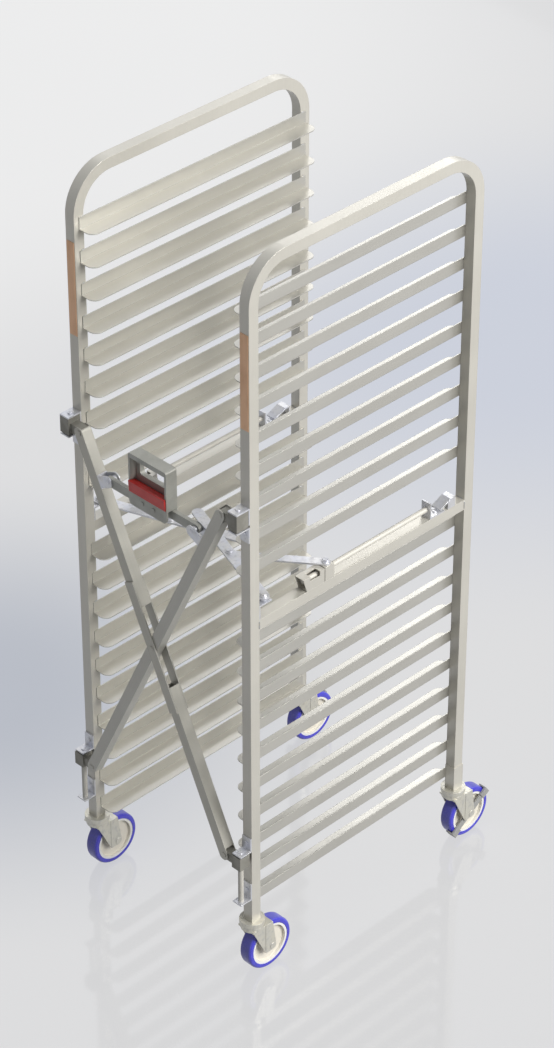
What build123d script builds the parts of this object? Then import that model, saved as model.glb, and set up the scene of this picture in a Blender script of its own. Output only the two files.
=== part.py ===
from build123d import *
import os
from math import acos, asin, atan2, cos, degrees, hypot, radians, sin, sqrt

# Collapsible pan rack: two side frames on casters, joined by a front scissor,
# a toggle handle and two flat cross plates with links to sliders on the rails.
# X runs from front to back, Y from right to left, Z up from the floor.

# Side frames
RACK_WIDTH = 518.0
FRAME_DEPTH = 658.0
TUBE = 25.4
TUBE_WALL = 1.6
CORNER_RADIUS = 100.0

# Pan slides, and the heights between them, the rail and the top of the frame
SLIDE_PITCH = 76.2
UPPER_SLIDES = 9
LOWER_SLIDES = 10
LOWER_SLIDE_START = 53.2
RAIL_GAP = 27.0
UPPER_SLIDE_LIFT = 124.6
TOP_MARGIN = 101.4
SLIDE_RISE = 28.7
SLIDE_FOOT = 38.8
SLIDE_GAUGE = 2.0
SLIDE_INSET = 12.7
SLIDE_CORNER = 18.0
SLIDE_BEND = 3.0

# Copper strip on the front posts
STRIP_DROP = 156.0
STRIP_LENGTH = 217.0
STRIP_WIDTH = 21.6
STRIP_GAUGE = 1.2

# Scissor bars and their pivots
BAR = 25.4
BAR_WALL = 2.0
BAR_STANDOFF = 20.0
PIVOT_INSET = 52.0
UPPER_PIVOT = 1050.0
LOWER_PIVOT = 178.5
FOLD_ANGLE = 15.5
FORK_GAP = 185.0
FORK_LAP = 58.0
FORK_GAUGE = 3.0
FORK_SHIM = 0.4
FORK_PAD_INSET = 3.0
EAR_CUT = 14.0

# Pins and running fits
PIVOT_PIN = 5.0
SMALL_PIN = 4.0
RUNNING_FIT = 0.05
SIDE_GAP = 0.3
PIN_HEAD = 1.5
NUT_HEIGHT = 3.0
ROUND_HEAD_RATIO = 1.3
NUT_RATIO = 1.8
COLLAR_RATIO = 1.8

# Screws, bolts and washers
BOLT_HEAD = 4.5
BOLT_RADIUS = 6.5
NUT_RADIUS = 9.0
SCREW_RADIUS = 5.0
SCREW_HEAD = 2.2
WASHER_RADIUS = 8.5
WASHER = 1.2

# Angle brackets on the front posts
ANGLE_GAUGE = 3.2
ANGLE_FLANGE = 36.0
UPPER_BRACKET_TOP = 1075.5
UPPER_BRACKET_LEG = 39.5
UPPER_BRACKET_FLOOR = 1030.0
UPPER_BRACKET_LOWER_LEG = 38.0
PIVOT_BLOCK_DEPTH = 32.0
PIVOT_BLOCK_LIFT = 3.0
TONGUE_HALF_HEIGHT = 10.2

# Guide for the lower ends of the bars
GUIDE_TOP = 196.8
GUIDE_TOP_LEG = 36.0
GUIDE_BOTTOM = 67.7
GUIDE_BOTTOM_LEG = 44.5
GUIDE_FLANGE = 32.0
ROD_RADIUS = 6.0
SLIDING_BLOCK_DEPTH = 28.0
SLIDING_BLOCK_HEIGHT = 32.5

# Cross plates, their brackets, links, rods and sliders
PLATE_RISE = 33.6
PLATE_PIVOT_SETBACK = 24.0
PLATE_CROSSING = 88.7
PLATE_TAIL = 65.0
PLATE_WIDTH = 25.0
PLATE_GAUGE = 4.0
PLATE_GAP = 0.4
SLIDER_LINK_PIN = 168.0
SLIDER_LINK_WIDTH = 22.0
SLIDER_START = 226.8
SLIDER_LENGTH = 26.0
SLIDER_LIFT = 0.6
RAIL_ROD_HEIGHT = 20.1
ROD_BRACKET_SETBACK = 105.6
ROD_BRACKET_RISE = 39.0
ROD_BRACKET_FOOT = 44.0

# Ramp-shaped catch on the rail, ahead of the back post
CATCH_SETBACK = 29.1
CATCH_RAMP = 32.0
CATCH_TOP = 14.0
CATCH_LOW = 10.0
CATCH_RISE = 23.6
CATCH_CHEEK = 24.0

# Rail housing in front of each slider
HOUSING_FRONT = 151.0
HOUSING_GAP = 1.8
HOUSING_HEIGHT = 33.0
HOUSING_WALL = 2.0
HOUSING_SLANT = 10.0
HOUSING_END_WALL = 4.0
HOUSING_NOTCH_START = 20.0
HOUSING_NOTCH_LENGTH = 28.0
HOUSING_NOTCH_WIDTH = 15.0
HOUSING_NOTCH_DEPTH = 11.0

# Toggle handle
KNUCKLE_DOWN = 108.8
KNUCKLE_OUT = 41.3
KNUCKLE_BASE = 3.0
KNUCKLE_LENGTH = 30.0
KNUCKLE_CHEEK = 2.7
KNUCKLE_RADIUS = 13.0
LINK_HEIGHT = 21.0
LINK_PIVOT = 16.1
HANDLE_WIDTH = 110.8
HANDLE_HEIGHT = 124.0
HANDLE_DEPTH = 30.0
HANDLE_WALL = 5.0
HANDLE_BELOW_PIVOT = 16.6
CHANNEL_ABOVE_PIVOT = 11.2
HANDLE_FOOT_CORNER = 10.0
HANDLE_TOP_CORNER = 5.0
GRIP_BAR = 11.0
HAND_HOLE_SIDE = 15.4
HAND_HOLE_HEIGHT = 43.5
HAND_HOLE_CORNER = 7.0
RECESS_DEPTH = 18.0

# Trigger
TRIGGER_TOP = 59.5
TRIGGER_HEIGHT = 27.0
TRIGGER_INSET = 2.4
TRIGGER_PROUD_TOP = 4.0
TRIGGER_PROUD_FOOT = 2.0
TRIGGER_PLATE = 4.5
TRIGGER_SHELF = 16.0
TRIGGER_SHELF_FALL = 6.0
TRIGGER_SHELF_GAUGE = 4.0
TRIGGER_ROUND = 1.5
TRIGGER_AXIS_DEPTH = 4.0
TRIGGER_AXIS_DROP = 6.5
TRIGGER_BARREL = 3.5
TRIGGER_POCKET = 12.0
TRIGGER_SHELF_ROOM = 13.0
TRIGGER_TOP_GAP = 1.0
TRIGGER_FOOT_GAP = 2.0
TRIGGER_PIN = 2.0
TRIGGER_PIN_REACH = 8.0
TRIGGER_SIDE_GAP = 0.4

# Casters
WHEEL_RADIUS = 62.5
WHEEL_WIDTH = 32.0
CASTER_HEIGHT = 151.0
TRAIL = 39.0
HUB_RADIUS = 51.0
HUB_WEB = 16.0
HUB_BOSS_RADIUS = 15.0
RIM_RADIUS = 45.0
RIM_WIDTH = 30.0
TYRE_ROUND = 6.0
AXLE_RADIUS = 6.0
FORK_CLEARANCE = 4.2
FORK_LEG_GAUGE = 3.0
FORK_LEG_RADIUS = 10.0
FORK_STRIP_FRONT = 18.0
FORK_STRIP_GAUGE = 4.0
FORK_LEG_TOP_BACK = 19.0
AXLE_HEAD_RADIUS = 8.0
AXLE_HEAD = 1.5
CROWN_LIFT = 2.0
CROWN_GAUGE = 4.0
RACE_HEIGHT = 5.6
RACE_RADIUS = 25.0
TOP_RADIUS = 28.0
TOP_LIP = 4.0
KING_PIN = 6.0
KING_HEAD_RADIUS = 9.0
KING_HEAD = 5.0
STEM_LENGTH = 50.0
STEM_GAP = 0.2

# Rocker brake on the back casters
BRAKE_ANGLE = 35.0
BRAKE_GAUGE = 3.0
BRAKE_WIDTH = 16.0
BRAKE_REACH = 50.0
PAD_INNER = 45.0
PAD_OUTER = 66.5
PAD_WIDTH = 19.0
PAD_GAUGE = 5.0
PAD_LIP = 3.2
PAD_LIP_WIDTH = 20.0

# Shoe on the foot of the back posts
SHOE_HEIGHT = 64.0
SHOE_GAUGE = 1.6


# Heights above the foot of the posts, worked out from the sizes above
RAIL_TOP = LOWER_SLIDE_START + (LOWER_SLIDES - 1) * SLIDE_PITCH + RAIL_GAP + TUBE
PLATE_BRACKET_TOP = RAIL_TOP + PLATE_RISE
UPPER_SLIDE_START = RAIL_TOP + UPPER_SLIDE_LIFT
FRAME_HEIGHT = UPPER_SLIDE_START + (UPPER_SLIDES - 1) * SLIDE_PITCH + TOP_MARGIN
STRIP_BOTTOM = FRAME_HEIGHT - STRIP_DROP - STRIP_LENGTH

# Places worked out from the sizes above
BASE = CASTER_HEIGHT
Y_OUT = RACK_WIDTH / 2
Y_IN = Y_OUT - TUBE
Y_POST = Y_OUT - TUBE / 2
FRONT_REACH = BAR_STANDOFF + HANDLE_DEPTH / 2 + max(TRIGGER_PROUD_TOP, TRIGGER_PROUD_FOOT, PIN_HEAD)
PAD_CORNER = hypot(PAD_OUTER, PAD_WIDTH / 2)
PAD_REACH = PAD_CORNER * cos(radians(BRAKE_ANGLE) - atan2(PAD_WIDTH / 2, PAD_OUTER))
BACK_REACH = FRAME_DEPTH - TUBE / 2 + TRAIL + max(WHEEL_RADIUS, PAD_REACH)
FRONT = (FRONT_REACH - BACK_REACH) / 2
BACK = FRONT + FRAME_DEPTH
X_BAR = FRONT - BAR_STANDOFF
X_CASTER_FRONT = FRONT + TUBE / 2
X_CASTER_BACK = BACK - TUBE / 2

Y_PIVOT = Y_OUT - PIVOT_INSET
Z_UPPER = BASE + UPPER_PIVOT
Z_LOWER = BASE + LOWER_PIVOT
BAR_LENGTH = hypot(2 * Y_PIVOT, Z_UPPER - Z_LOWER)
BAR_ANGLE = degrees(asin(2 * Y_PIVOT / BAR_LENGTH))
CLOSED_ANGLE = BAR_ANGLE - FOLD_ANGLE
HALF_BAR = BAR / 2
TONGUE_SIDE = HALF_BAR - BAR_WALL - SIDE_GAP
FORK_FACE = HALF_BAR + FORK_SHIM
FORK_BACK = FORK_FACE + FORK_GAUGE
MIDDLE = BAR_LENGTH / 2

Z_RAIL = BASE + RAIL_TOP
Z_PLATE = BASE + PLATE_BRACKET_TOP
Z_RAIL_ROD = Z_RAIL + RAIL_ROD_HEIGHT
X_PLATE_PIVOT = FRONT + TUBE + PLATE_PIVOT_SETBACK
X_SLIDER = FRONT + SLIDER_START
X_ROD_BRACKET = BACK - TUBE - ROD_BRACKET_SETBACK
PLATE_HALF = hypot(PLATE_CROSSING, Y_POST)
PLATE_LEAN = degrees(asin(PLATE_CROSSING / PLATE_HALF))
X_LINK_PIN = X_PLATE_PIVOT + SLIDER_LINK_PIN * sin(radians(PLATE_LEAN))
Y_LINK_PIN = Y_POST - SLIDER_LINK_PIN * cos(radians(PLATE_LEAN))
SLIDER_LINK_LENGTH = hypot(X_SLIDER - X_LINK_PIN, Y_POST - Y_LINK_PIN)
LEFT_PLATE_Z = Z_PLATE + PLATE_GAP
RIGHT_PLATE_Z = LEFT_PLATE_Z + PLATE_GAUGE + PLATE_GAP
X_CROSSING = X_PLATE_PIVOT + PLATE_CROSSING

WHEEL_HALF = WHEEL_WIDTH / 2
LEG_IN = WHEEL_HALF + FORK_CLEARANCE
LEG_OUT = LEG_IN + FORK_LEG_GAUGE
Z_CROWN = 2 * WHEEL_RADIUS + CROWN_LIFT
Z_RACE = Z_CROWN + CROWN_GAUGE
Z_TOP = Z_RACE + RACE_HEIGHT + SIDE_GAP
BRAKE_FACE = LEG_IN - SIDE_GAP - BRAKE_GAUGE
BRAKE_OUT = BRAKE_FACE + BRAKE_GAUGE


def knuckle_place(angle):
    """Distance from the middle and height of the knuckle pin when the bar leans by an angle."""
    lean = radians(angle)
    inward = KNUCKLE_DOWN * sin(lean) + KNUCKLE_OUT * cos(lean)
    down = KNUCKLE_DOWN * cos(lean) - KNUCKLE_OUT * sin(lean)
    return BAR_LENGTH * sin(lean) / 2 - inward, Z_UPPER - down


Y_KNUCKLE, Z_KNUCKLE = knuckle_place(BAR_ANGLE)
LINK_LENGTH = Y_KNUCKLE - LINK_PIVOT
LINK_SIDE = HALF_BAR - KNUCKLE_CHEEK - SIDE_GAP
Z_HANDLE = Z_KNUCKLE - HANDLE_BELOW_PIVOT
HAND_HOLE_WIDTH = HANDLE_WIDTH - 2 * HAND_HOLE_SIDE
TRIGGER_WIDTH = HANDLE_WIDTH - 2 * TRIGGER_INSET
X_HANDLE_FRONT = X_BAR - HANDLE_DEPTH / 2
Z_TRIGGER_TOP = Z_HANDLE + TRIGGER_TOP
Z_TRIGGER_FOOT = Z_TRIGGER_TOP - TRIGGER_HEIGHT
Z_TRIGGER_AXIS = Z_TRIGGER_TOP - TRIGGER_AXIS_DROP
X_TRIGGER_AXIS = X_HANDLE_FRONT + TRIGGER_AXIS_DEPTH


# Small helpers
def box(x0, x1, y0, y1, z0, z1):
    return Pos((x0 + x1) / 2, (y0 + y1) / 2, (z0 + z1) / 2) * Box(x1 - x0, y1 - y0, z1 - z0)


def rod_x(x0, x1, y, z, radius):
    return Pos((x0 + x1) / 2, y, z) * Rot(0, 90, 0) * Cylinder(radius, x1 - x0)


def rod_y(y0, y1, x, z, radius):
    return Pos(x, (y0 + y1) / 2, z) * Rot(90, 0, 0) * Cylinder(radius, y1 - y0)


def rod_z(z0, z1, x, y, radius):
    return Pos(x, y, (z0 + z1) / 2) * Cylinder(radius, z1 - z0)


def hex_z(z0, z1, x, y, radius):
    return Pos(x, y, z0) * extrude(RegularPolygon(radius, 6), z1 - z0)


def hex_x(x0, x1, y, z, radius):
    return Pos(x0, y, z) * Rot(0, 90, 0) * extrude(RegularPolygon(radius, 6), x1 - x0)


def other_side(solids):
    return [mirror(solid, about=Plane.XZ) for solid in solids]


def write(node, solids):
    shape = solids[0] if len(solids) == 1 else Compound(children=list(solids))
    export_step(shape, f"parts/{node}.step")


def write_pair(name, solids):
    write(f"left_{name}", solids)
    write(f"right_{name}", other_side(solids))


# Side frame, made for the left side
def bent_ring(inset):
    outer = Pos(0, (FRAME_HEIGHT - inset) / 2) * Rectangle(FRAME_DEPTH - 2 * inset, FRAME_HEIGHT - inset)
    outer = fillet(outer.vertices().group_by(Axis.Y)[-1], CORNER_RADIUS - inset)
    inside = TUBE - inset
    inner = Pos(0, (FRAME_HEIGHT - inside) / 2) * Rectangle(FRAME_DEPTH - 2 * inside, FRAME_HEIGHT - inside)
    inner = fillet(inner.vertices().group_by(Axis.Y)[-1], CORNER_RADIUS - inside)
    plane = Plane(origin=(FRONT + FRAME_DEPTH / 2, Y_OUT - inset, BASE), x_dir=(1, 0, 0), z_dir=(0, -1, 0))
    return extrude(plane * (outer - inner), TUBE - 2 * inset)


def frame_tube():
    return bent_ring(0) - bent_ring(TUBE_WALL)


def mid_rail():
    wall = TUBE_WALL
    outer = box(FRONT + TUBE, BACK - TUBE, Y_IN, Y_OUT, Z_RAIL - TUBE, Z_RAIL)
    z0 = Z_RAIL - TUBE + wall
    return outer - box(FRONT + TUBE, BACK - TUBE, Y_IN + wall, Y_OUT - wall, z0, Z_RAIL - wall)


def pan_slide(upper_edge):
    z0 = BASE + upper_edge - SLIDE_RISE
    x0 = FRONT + SLIDE_INSET
    x1 = BACK - SLIDE_INSET
    wall = box(x0, x1, Y_IN - SLIDE_GAUGE, Y_IN, z0, z0 + SLIDE_RISE)
    plan = Rectangle(x1 - x0, SLIDE_FOOT)
    plan = fillet(plan.vertices().group_by(Axis.Y)[0], SLIDE_CORNER)
    foot = Pos((x0 + x1) / 2, Y_IN - SLIDE_FOOT / 2, z0) * extrude(plan, SLIDE_GAUGE)
    slide = wall + foot
    bend = slide.edges().filter_by(Axis.X).group_by(Axis.Z)[0].sort_by(Axis.Y)[-1]
    return fillet(bend, SLIDE_BEND)


def copper_strip():
    half = STRIP_WIDTH / 2
    z0 = BASE + STRIP_BOTTOM
    return box(FRONT - STRIP_GAUGE, FRONT, Y_POST - half, Y_POST + half, z0, z0 + STRIP_LENGTH)


def front_angle(flange_bottom, flange, leg_from, leg_to):
    z0 = BASE + flange_bottom
    plate = box(FRONT - flange, FRONT, Y_IN, Y_OUT, z0, z0 + ANGLE_GAUGE)
    return plate + box(FRONT - ANGLE_GAUGE, FRONT, Y_IN, Y_OUT, BASE + leg_from, BASE + leg_to)


def plate_hole():
    return rod_z(Z_PLATE - ANGLE_GAUGE, Z_PLATE, X_PLATE_PIVOT, Y_POST, SMALL_PIN + RUNNING_FIT)


def rail_catch():
    """Bent strip that stands on the rail, runs level and then down a ramp, with a cheek on its outer side."""
    back = BACK - TUBE - CATCH_SETBACK
    level = back - CATCH_TOP
    ramp = level - CATCH_RAMP
    low = Z_RAIL + CATCH_LOW
    top = Z_RAIL + CATCH_RISE
    inside = back - ANGLE_GAUGE
    roof = top - ANGLE_GAUGE
    under = [(ramp, low - ANGLE_GAUGE), (level, roof), (inside, roof), (inside, Z_RAIL)]
    over = [(back, Z_RAIL), (back, top), (level, top), (ramp, low)]
    plane = Plane(origin=(0, Y_OUT, 0), x_dir=(1, 0, 0), z_dir=(0, -1, 0))
    strip = extrude(plane * Polygon(*under, *over, align=None), TUBE)
    front = ramp + CATCH_CHEEK
    brow = low + (top - low) * CATCH_CHEEK / CATCH_RAMP
    cheek = Polygon((front, Z_RAIL), (back, Z_RAIL), (back, top), (level, top), (front, brow), align=None)
    return strip + extrude(plane * cheek, ANGLE_GAUGE)


def angle_brackets():
    upper_top = front_angle(UPPER_BRACKET_TOP - ANGLE_GAUGE, ANGLE_FLANGE,
                            UPPER_BRACKET_TOP - UPPER_BRACKET_LEG, UPPER_BRACKET_TOP)
    upper_low = front_angle(UPPER_BRACKET_FLOOR - ANGLE_GAUGE, ANGLE_FLANGE,
                            UPPER_BRACKET_FLOOR - UPPER_BRACKET_LOWER_LEG, UPPER_BRACKET_FLOOR)
    guide_top = front_angle(GUIDE_TOP, GUIDE_FLANGE, GUIDE_TOP, GUIDE_TOP + GUIDE_TOP_LEG)
    guide_low = front_angle(GUIDE_BOTTOM - ANGLE_GAUGE, GUIDE_FLANGE,
                            GUIDE_BOTTOM - ANGLE_GAUGE, GUIDE_BOTTOM - ANGLE_GAUGE + GUIDE_BOTTOM_LEG)
    x0 = FRONT + TUBE
    plate_leg = box(x0, x0 + ANGLE_GAUGE, Y_IN, Y_OUT, Z_RAIL, Z_PLATE)
    plate_flange = box(x0, x0 + ANGLE_FLANGE, Y_IN, Y_OUT, Z_PLATE - ANGLE_GAUGE, Z_PLATE)
    plate_bracket = plate_leg + plate_flange - plate_hole()
    rod_leg = box(X_ROD_BRACKET, X_ROD_BRACKET + ANGLE_GAUGE, Y_IN, Y_OUT, Z_RAIL, Z_RAIL + ROD_BRACKET_RISE)
    rod_foot = box(X_ROD_BRACKET, X_ROD_BRACKET + ROD_BRACKET_FOOT, Y_IN, Y_OUT, Z_RAIL, Z_RAIL + ANGLE_GAUGE)
    rod_bracket = rod_leg + rod_foot
    rod_bracket -= rod_x(X_ROD_BRACKET, X_ROD_BRACKET + ANGLE_GAUGE, Y_POST, Z_RAIL_ROD, ROD_RADIUS)
    return [upper_top, upper_low, guide_top, guide_low, plate_bracket, rod_bracket, rail_catch()]


def tongue():
    x0 = X_BAR - TONGUE_SIDE
    x1 = X_BAR + TONGUE_SIDE
    bar = box(x0, x1, Y_PIVOT, Y_IN, -TONGUE_HALF_HEIGHT, TONGUE_HALF_HEIGHT)
    bar += rod_x(x0, x1, Y_PIVOT, 0, TONGUE_HALF_HEIGHT)
    return bar - rod_x(x0, x1, Y_PIVOT, 0, PIVOT_PIN + RUNNING_FIT)


def pivot_block():
    half = PIVOT_BLOCK_DEPTH / 2
    z0 = BASE + UPPER_BRACKET_FLOOR + PIVOT_BLOCK_LIFT
    body = box(X_BAR - half, X_BAR + half, Y_IN, Y_OUT, z0, BASE + UPPER_BRACKET_TOP - ANGLE_GAUGE)
    return body + Pos(0, 0, Z_UPPER) * tongue()


def sliding_block():
    half = SLIDING_BLOCK_DEPTH / 2
    rise = SLIDING_BLOCK_HEIGHT / 2
    body = box(X_BAR - half, X_BAR + half, Y_IN, Y_OUT, Z_LOWER - rise, Z_LOWER + rise)
    body += Pos(0, 0, Z_LOWER) * tongue()
    return body - rod_z(Z_LOWER - rise, Z_LOWER + rise, X_BAR, Y_POST, ROD_RADIUS + RUNNING_FIT)


def guide_rods():
    upright = rod_z(BASE + GUIDE_BOTTOM, BASE + GUIDE_TOP, X_BAR, Y_POST, ROD_RADIUS)
    x0 = FRONT + HOUSING_FRONT + HOUSING_SLANT
    along = rod_x(x0, X_ROD_BRACKET + ANGLE_GAUGE, Y_POST, Z_RAIL_ROD, ROD_RADIUS)
    return [upright, along]


def rail_housing():
    x0 = FRONT + HOUSING_FRONT
    x1 = X_SLIDER - SLIDER_LENGTH / 2 - HOUSING_GAP
    z1 = Z_RAIL + HOUSING_HEIGHT
    wall = HOUSING_WALL
    shell = box(x0, x1, Y_IN, Y_OUT, Z_RAIL, z1)
    shell -= box(x0, x1 - HOUSING_END_WALL, Y_IN + wall, Y_OUT - wall, Z_RAIL + wall, z1 - wall)
    slant = Polygon((x0, Z_RAIL), (x0 + HOUSING_SLANT, Z_RAIL), (x0, z1), align=None)
    plane = Plane(origin=(0, Y_OUT, 0), x_dir=(1, 0, 0), z_dir=(0, -1, 0))
    shell -= extrude(plane * slant, TUBE)
    notch = x0 + HOUSING_NOTCH_START
    notch_end = notch + HOUSING_NOTCH_LENGTH
    shell -= box(notch, notch_end, Y_OUT - HOUSING_NOTCH_WIDTH, Y_OUT, z1 - HOUSING_NOTCH_DEPTH, z1)
    return shell - rod_x(x1 - HOUSING_END_WALL, x1, Y_POST, Z_RAIL_ROD, ROD_RADIUS)


def back_shoe():
    gap = RUNNING_FIT
    x0 = BACK - TUBE
    wall = SHOE_GAUGE + gap
    outer = box(x0 - wall, BACK + wall, Y_IN, Y_OUT + wall, BASE, BASE + SHOE_HEIGHT)
    return outer - box(x0 - gap, BACK + gap, Y_IN, Y_OUT + gap, BASE, BASE + SHOE_HEIGHT)


def bolt_on(x, z):
    return rod_z(z, z + SCREW_HEAD, x, Y_POST, SCREW_RADIUS)


def bracket_screws():
    leg_face = FRONT - ANGLE_GAUGE
    upper_leg = BASE + UPPER_BRACKET_FLOOR - UPPER_BRACKET_LOWER_LEG / 2
    guide_leg = BASE + GUIDE_TOP + (ANGLE_GAUGE + GUIDE_TOP_LEG) / 2
    low_leg = BASE + GUIDE_BOTTOM + GUIDE_BOTTOM_LEG / 2
    solids = [bolt_on(X_BAR, BASE + UPPER_BRACKET_TOP)]
    floor = BASE + UPPER_BRACKET_FLOOR
    solids.append(rod_z(floor, floor + PIVOT_BLOCK_LIFT, X_BAR, Y_POST, WASHER_RADIUS))
    under = floor - ANGLE_GAUGE
    solids.append(hex_z(under - BOLT_HEAD, under, X_BAR, Y_POST, BOLT_RADIUS))
    for z in (upper_leg, guide_leg, low_leg):
        solids.append(rod_x(leg_face - SCREW_HEAD, leg_face, Y_POST, z, SCREW_RADIUS))
    guide_floor = BASE + GUIDE_BOTTOM - ANGLE_GAUGE
    solids.append(bolt_on(X_BAR, BASE + GUIDE_TOP + ANGLE_GAUGE))
    solids.append(hex_z(guide_floor - BOLT_HEAD, guide_floor, X_BAR, Y_POST, NUT_RADIUS))
    bracket_face = FRONT + TUBE + ANGLE_GAUGE
    bracket_z = (Z_RAIL + Z_PLATE - ANGLE_GAUGE) / 2
    solids.append(rod_x(bracket_face, bracket_face + SCREW_HEAD, Y_POST, bracket_z, SCREW_RADIUS))
    foot_bolt = X_ROD_BRACKET + ANGLE_GAUGE + (ROD_BRACKET_FOOT + ANGLE_GAUGE) / 2
    solids.append(bolt_on(foot_bolt, Z_RAIL + ANGLE_GAUGE))
    rod_end = X_ROD_BRACKET + ANGLE_GAUGE
    solids.append(hex_x(rod_end, rod_end + BOLT_HEAD, Y_POST, Z_RAIL_ROD, NUT_RADIUS))
    return solids


# Scissor bars, made upright from the lower pivot and then leaned over
def lean_bar(solid, side):
    return Pos(X_BAR, side * Y_PIVOT, Z_LOWER) * Rot(side * BAR_ANGLE, 0, 0) * solid


def upright_bar(side):
    """Square tube whose ends are open on the side of the blocks they turn on."""
    plane = Plane(origin=(-HALF_BAR, 0, BAR_LENGTH / 2), x_dir=(0, 0, 1), z_dir=(1, 0, 0))
    bar = extrude(plane * SlotCenterToCenter(BAR_LENGTH, BAR), BAR)
    inside = HALF_BAR - BAR_WALL
    bar -= box(-inside, inside, -inside, inside, -BAR, BAR_LENGTH + BAR)
    for z0, z1, out in ((-BAR, EAR_CUT, side * BAR), (BAR_LENGTH - EAR_CUT, BAR_LENGTH + BAR, -side * BAR)):
        bar -= box(-inside, inside, min(0, out), max(0, out), z0, z1)
    for z in (0, BAR_LENGTH):
        bar -= rod_x(-BAR, BAR, 0, z, PIVOT_PIN)
    return bar


def through_pin(z, y, radius, reach):
    """A pin across the bar with a round head in front and a nut behind."""
    shank = rod_x(-reach, reach, y, z, radius)
    head = rod_x(-reach - PIN_HEAD, -reach, y, z, radius * ROUND_HEAD_RATIO)
    return shank + head + hex_x(reach, reach + NUT_HEIGHT, y, z, radius * NUT_RATIO)


def fork_plate():
    """Flat plate beside the gap in the first bar, with a thin pad on each end of the tube."""
    half = FORK_GAP / 2 + FORK_LAP
    pad = HALF_BAR - FORK_PAD_INSET
    plate = box(FORK_FACE, FORK_BACK, -HALF_BAR, HALF_BAR, MIDDLE - half, MIDDLE + half)
    for z in (MIDDLE - half, MIDDLE + FORK_GAP / 2):
        plate += box(HALF_BAR, FORK_FACE, -pad, pad, z, z + FORK_LAP)
    return plate - rod_x(HALF_BAR, FORK_BACK, 0, MIDDLE, PIVOT_PIN)


def first_bar():
    bar = upright_bar(-1)
    upper = bar & box(-BAR, BAR, -BAR, BAR, MIDDLE + FORK_GAP / 2, BAR_LENGTH + BAR)
    lower = bar & box(-BAR, BAR, -BAR, BAR, -BAR, MIDDLE - FORK_GAP / 2)
    return upper, lower


def first_bar_pins():
    solids = [through_pin(z, 0, PIVOT_PIN, HALF_BAR) for z in (0, BAR_LENGTH)]
    solids.append(through_pin(MIDDLE, 0, PIVOT_PIN, FORK_BACK))
    return solids


def second_bar():
    return upright_bar(1) - rod_x(-BAR, BAR, 0, MIDDLE, PIVOT_PIN + RUNNING_FIT)


def second_bar_pins():
    return [through_pin(z, 0, PIVOT_PIN, HALF_BAR) for z in (0, BAR_LENGTH)]


def knuckle(side):
    """Clevis on the inner face of a bar, with its pin and the collar beside the link."""
    z = BAR_LENGTH - KNUCKLE_DOWN
    pin_y = side * KNUCKLE_OUT
    face = side * HALF_BAR
    seat = side * (HALF_BAR + KNUCKLE_BASE)
    half = KNUCKLE_LENGTH / 2
    body = box(-HALF_BAR, HALF_BAR, min(face, seat), max(face, seat), z - half, z + half)
    cheek_in = HALF_BAR - KNUCKLE_CHEEK
    rise = KNUCKLE_RADIUS
    cheek = box(-HALF_BAR, HALF_BAR, min(seat, pin_y), max(seat, pin_y), z - rise, z + rise)
    cheek += rod_x(-HALF_BAR, HALF_BAR, pin_y, z, KNUCKLE_RADIUS)
    slot_end = pin_y + side * 2 * KNUCKLE_RADIUS
    slot = box(-cheek_in, cheek_in, min(seat, slot_end), max(seat, slot_end), z - BAR, z + BAR)
    body += cheek - slot - rod_x(-BAR, BAR, pin_y, z, SMALL_PIN)
    collar_end = -side * cheek_in
    pin = through_pin(z, pin_y, SMALL_PIN, HALF_BAR)
    pin += rod_x(min(0, collar_end), max(0, collar_end), pin_y, z, SMALL_PIN * COLLAR_RATIO)
    return [body, pin]


# Toggle links, the left one in front of the right one
def toggle_link(side):
    x0 = X_BAR - LINK_SIDE if side > 0 else X_BAR + SIDE_GAP
    gauge = LINK_SIDE - SIDE_GAP
    middle = side * (LINK_PIVOT + Y_KNUCKLE) / 2
    plane = Plane(origin=(x0, middle, Z_KNUCKLE), x_dir=(0, 1, 0), z_dir=(1, 0, 0))
    link = extrude(plane * SlotCenterToCenter(LINK_LENGTH, LINK_HEIGHT), gauge)
    for y in (LINK_PIVOT, Y_KNUCKLE):
        link -= rod_x(x0, x0 + gauge, side * y, Z_KNUCKLE, SMALL_PIN + RUNNING_FIT)
    return link


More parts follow.
